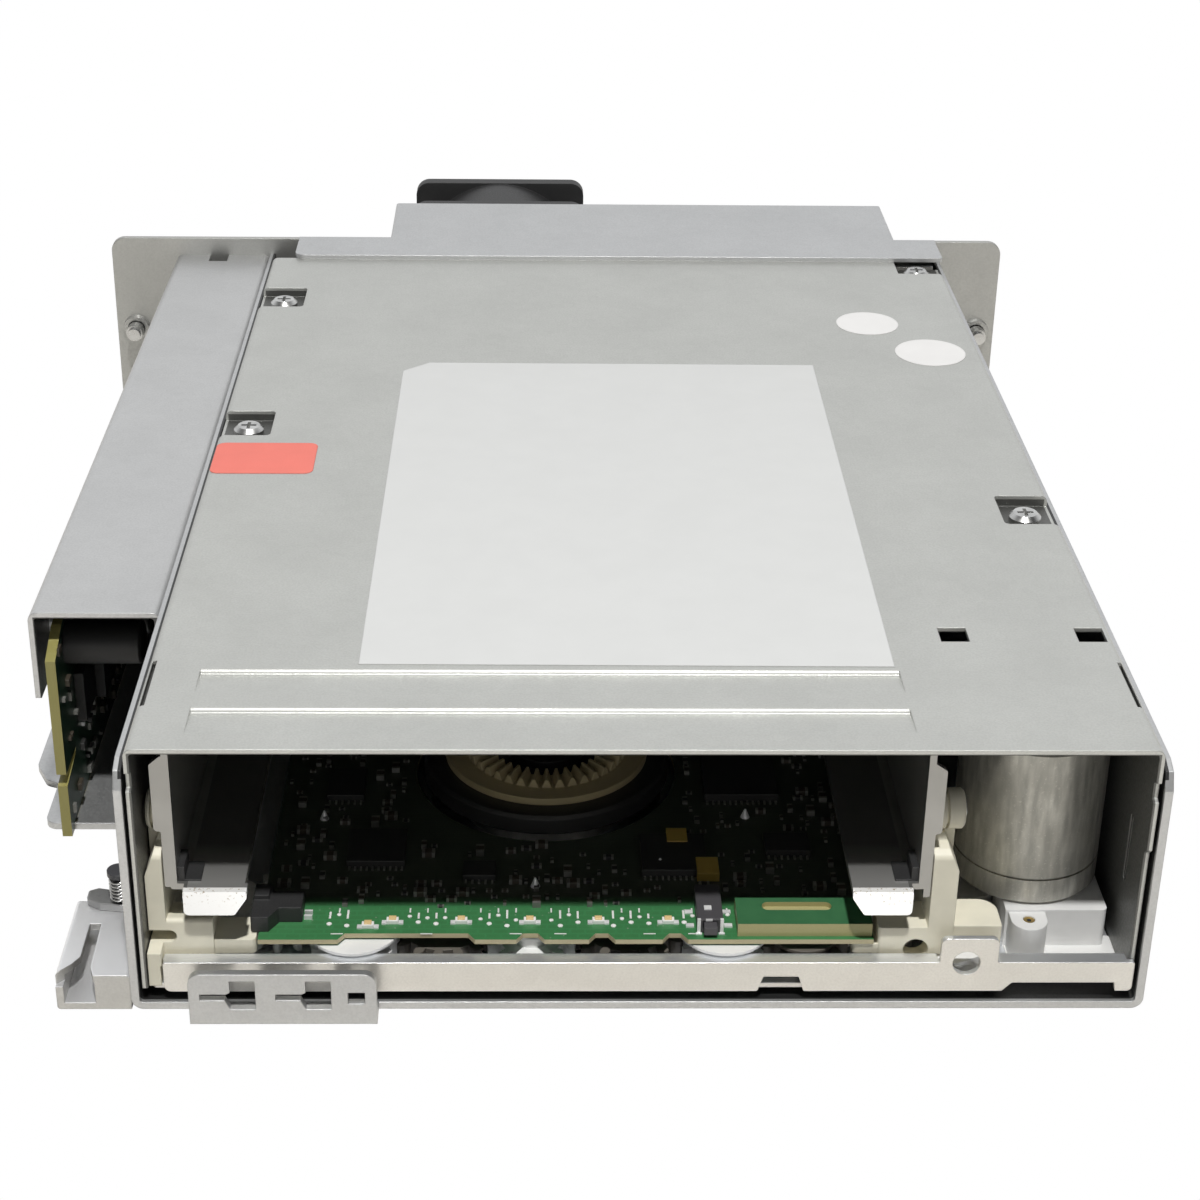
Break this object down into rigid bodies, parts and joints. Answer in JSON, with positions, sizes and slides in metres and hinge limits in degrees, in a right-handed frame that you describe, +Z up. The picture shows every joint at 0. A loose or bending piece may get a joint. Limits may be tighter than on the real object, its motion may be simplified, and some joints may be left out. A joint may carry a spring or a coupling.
{
  "type": "tape drive on library sled",
  "caption": "Half-height data tape drive in a folded sled with side board channel, fan housing, cartridge lift carriage, rack and gear train, reels and moving head.",
  "frame": {"origin": "on the tray's underside, on the drive's centre line, level with the drive cover's front edge", "axes": "+X to the right seen from the cartridge mouth, +Y from the mouth to the fan, +Z up"},
  "size_m": [0.1998, 0.262, 0.0454],
  "materials": {
    "galvanised_sheet": "satin zinc-coated",
    "cover_sheet": "satin zinc-coated",
    "rail_sheet": "satin",
    "screw_steel": "bright",
    "spring_steel": "bright",
    "motor_can": "drawn, satin",
    "gearbox_cast": "matt cast",
    "alloy": "satin",
    "cream_plastic": "moulded",
    "white_plastic": "moulded",
    "black_plastic": "moulded",
    "dark_plastic": "satin",
    "board_green": "solder mask",
    "chip_black": "matt",
    "grey_plastic": "moulded",
    "head_ceramic": "polished"
  },
  "bodies": {
    "sled": {"tray": "galvanised_sheet", "tray_screws": "screw_steel", "side_channel": "galvanised_sheet", "side_board": "board_green", "side_board_parts": "chip_black", "board_spacers": "screw_steel", "dock_bracket": "galvanised_sheet", "latch_pin": "screw_steel", "latch_spring": "spring_steel", "rear_plate": "galvanised_sheet", "rear_housing": "galvanised_sheet", "rear_sockets": "screw_steel", "fan_frame": "black_plastic", "base_frame": "rail_sheet", "top_cover": "cover_sheet", "cover_screws": "screw_steel", "main_board": "board_green", "board_chips": "chip_black", "memory_antenna": "grey_plastic", "cartridge_sensor": "black_plastic", "eject_switch": "grey_plastic", "load_motor": "motor_can", "gearbox_housing": "gearbox_cast", "gear_pins": "screw_steel", "left_guide": "cream_plastic", "right_guide": "cream_plastic", "reel_motor": "alloy", "takeup_motor": "alloy", "tape_deck": "alloy", "head_actuator": "screw_steel"},
    "carriage": {"cartridge_carriage": "rail_sheet", "rail_pads": "black_plastic"},
    "left_slider": {"left_slider": "white_plastic"},
    "right_slider": {"right_slider": "white_plastic"},
    "drive_pinion": {"drive_pinion": "white_plastic"},
    "load_gear_a": {"load_gear_a": "white_plastic"},
    "load_gear_b": {"load_gear_b": "white_plastic"},
    "load_gear_c": {"load_gear_c": "white_plastic"},
    "load_gear_d": {"load_gear_d": "white_plastic"},
    "load_gear_e": {"load_gear_e": "white_plastic"},
    "load_gear_f": {"load_gear_f": "white_plastic"},
    "load_gear_g": {"load_gear_g": "dark_plastic"},
    "load_gear_h": {"load_gear_h": "white_plastic"},
    "left_roller_front": {"left_roller_front": "cream_plastic"},
    "left_roller_rear": {"left_roller_rear": "cream_plastic"},
    "right_roller_front": {"right_roller_front": "cream_plastic"},
    "right_roller_rear": {"right_roller_rear": "cream_plastic"},
    "cartridge_spindle": {"reel_rotor": "dark_plastic", "clutch_ring": "cream_plastic"},
    "takeup_reel": {"takeup_reel": "dark_plastic"},
    "tape_head": {"head_block": "head_ceramic"},
    "guide_roller_1": {"guide_roller_1": "alloy"},
    "guide_roller_2": {"guide_roller_2": "alloy"},
    "guide_roller_3": {"guide_roller_3": "alloy"},
    "guide_roller_4": {"guide_roller_4": "alloy"},
    "dock_latch": {"dock_latch": "dark_plastic"},
    "thumbscrew_left": {"thumbscrew_left": "screw_steel"},
    "thumbscrew_right": {"thumbscrew_right": "screw_steel"},
    "fan_rotor": {"fan_rotor": "black_plastic"},
    "eject_button": {"eject_button": "black_plastic"}
  },
  "joints": [
    {"name": "carriage_load", "type": "slide", "parent": "sled", "child": "carriage", "axis": [0, 0.9439, -0.3304], "range_m": [0, 0.01271]},
    {"name": "left_slider_travel", "type": "slide", "parent": "sled", "child": "left_slider", "axis": [0, 1, 0], "range_m": [0, 0.01202]},
    {"name": "right_slider_travel", "type": "slide", "parent": "sled", "child": "right_slider", "axis": [0, 1, 0], "range_m": [0, 0.01202]},
    {"name": "load_gear_a_turn", "type": "hinge", "parent": "sled", "child": "load_gear_a", "pos_m": [-0.054, 0.01604, 0.0055], "axis": [0, 0, 1], "range_deg": [-86.24, 0]},
    {"name": "load_gear_b_turn", "type": "hinge", "parent": "sled", "child": "load_gear_b", "pos_m": [-0.0424, 0.0082, 0.0055], "axis": [0, 0, 1], "range_deg": [0, 114.89]},
    {"name": "load_gear_c_turn", "type": "hinge", "parent": "sled", "child": "load_gear_c", "pos_m": [-0.0292, 0.01103, 0.0055], "axis": [0, 0, 1], "range_deg": [-91.97, 0]},
    {"name": "load_gear_d_turn", "type": "hinge", "parent": "sled", "child": "load_gear_d", "pos_m": [-0.016, 0.0082, 0.0055], "axis": [0, 0, 1], "range_deg": [0, 114.89]},
    {"name": "load_gear_e_turn", "type": "hinge", "parent": "sled", "child": "load_gear_e", "pos_m": [-0.0016, 0.0124, 0.0055], "axis": [0, 0, 1], "range_deg": [-76.69, 0]},
    {"name": "load_gear_f_turn", "type": "hinge", "parent": "sled", "child": "load_gear_f", "pos_m": [0.0128, 0.0082, 0.0055], "axis": [0, 0, 1], "range_deg": [0, 114.89]},
    {"name": "load_gear_g_turn", "type": "hinge", "parent": "sled", "child": "load_gear_g", "pos_m": [0.0248, 0.0082, 0.0055], "axis": [0, 0, 1], "range_deg": [-114.89, 0]},
    {"name": "load_gear_h_turn", "type": "hinge", "parent": "sled", "child": "load_gear_h", "pos_m": [0.0364, 0.01604, 0.0055], "axis": [0, 0, 1], "range_deg": [0, 86.24]},
    {"name": "drive_pinion_turn", "type": "hinge", "parent": "sled", "child": "drive_pinion", "pos_m": [0.061, 0.0253, 0.0055], "axis": [0, 0, 1], "range_deg": [-98.52, 0]},
    {"name": "left_roller_front_spin", "type": "hinge", "parent": "carriage", "child": "left_roller_front", "pos_m": [-0.0704, 0.009, 0.029], "axis": [1, 0, 0], "continuous": true},
    {"name": "left_roller_rear_spin", "type": "hinge", "parent": "carriage", "child": "left_roller_rear", "pos_m": [-0.0704, 0.075, 0.029], "axis": [1, 0, 0], "continuous": true},
    {"name": "right_roller_front_spin", "type": "hinge", "parent": "carriage", "child": "right_roller_front", "pos_m": [0.0445, 0.009, 0.029], "axis": [1, 0, 0], "continuous": true},
    {"name": "right_roller_rear_spin", "type": "hinge", "parent": "carriage", "child": "right_roller_rear", "pos_m": [0.0445, 0.075, 0.029], "axis": [1, 0, 0], "continuous": true},
    {"name": "cartridge_spindle_spin", "type": "hinge", "parent": "sled", "child": "cartridge_spindle", "pos_m": [-0.0136, 0.05, 0.012], "axis": [0, 0, 1], "continuous": true},
    {"name": "takeup_reel_spin", "type": "hinge", "parent": "sled", "child": "takeup_reel", "pos_m": [-0.02, 0.158, 0.026], "axis": [0, 0, 1], "continuous": true},
    {"name": "guide_roller_1_spin", "type": "hinge", "parent": "sled", "child": "guide_roller_1", "pos_m": [0.046, 0.118, 0.026], "axis": [0, 0, 1], "continuous": true},
    {"name": "guide_roller_2_spin", "type": "hinge", "parent": "sled", "child": "guide_roller_2", "pos_m": [0.058, 0.134, 0.026], "axis": [0, 0, 1], "continuous": true},
    {"name": "guide_roller_3_spin", "type": "hinge", "parent": "sled", "child": "guide_roller_3", "pos_m": [0.058, 0.168, 0.026], "axis": [0, 0, 1], "continuous": true},
    {"name": "guide_roller_4_spin", "type": "hinge", "parent": "sled", "child": "guide_roller_4", "pos_m": [0.046, 0.184, 0.026], "axis": [0, 0, 1], "continuous": true},
    {"name": "head_lift", "type": "slide", "parent": "sled", "child": "tape_head", "axis": [0, 0, 1], "range_m": [-0.004, 0.0045]},
    {"name": "dock_latch_swing", "type": "hinge", "parent": "sled", "child": "dock_latch", "pos_m": [-0.0786, 0.0166, 0.0067], "axis": [0, 0, 1], "range_deg": [-25, 0], "stiffness_Nm_per_rad": 0.002},
    {"name": "thumbscrew_left_turn", "type": "hinge", "parent": "sled", "child": "thumbscrew_left", "pos_m": [-0.1057, 0.219, 0.0236], "axis": [0, 1, 0], "continuous": true},
    {"name": "thumbscrew_right_turn", "type": "hinge", "parent": "sled", "child": "thumbscrew_right", "pos_m": [0.0849, 0.219, 0.0236], "axis": [0, 1, 0], "continuous": true},
    {"name": "fan_spin", "type": "hinge", "parent": "sled", "child": "fan_rotor", "pos_m": [-0.024, 0.248, 0.025], "axis": [0, 1, 0], "continuous": true},
    {"name": "eject_press", "type": "slide", "parent": "sled", "child": "eject_button", "axis": [0, 1, 0], "range_m": [0, 0.0005], "stiffness_N_per_m": 800}
  ],
  "couplings": [
    {"joint": "left_slider_travel", "follows": "carriage_load", "ratio": 0.94386},
    {"joint": "right_slider_travel", "follows": "carriage_load", "ratio": 0.94386},
    {"joint": "load_gear_a_turn", "follows": "carriage_load", "rad_per_m": -117.98},
    {"joint": "load_gear_b_turn", "follows": "carriage_load", "rad_per_m": 157.31},
    {"joint": "load_gear_c_turn", "follows": "carriage_load", "rad_per_m": -125.85},
    {"joint": "load_gear_d_turn", "follows": "carriage_load", "rad_per_m": 157.31},
    {"joint": "load_gear_e_turn", "follows": "carriage_load", "rad_per_m": -104.87},
    {"joint": "load_gear_f_turn", "follows": "carriage_load", "rad_per_m": 157.31},
    {"joint": "load_gear_g_turn", "follows": "carriage_load", "rad_per_m": -157.31},
    {"joint": "load_gear_h_turn", "follows": "carriage_load", "rad_per_m": 117.98},
    {"joint": "drive_pinion_turn", "follows": "carriage_load", "rad_per_m": -134.84}
  ]
}
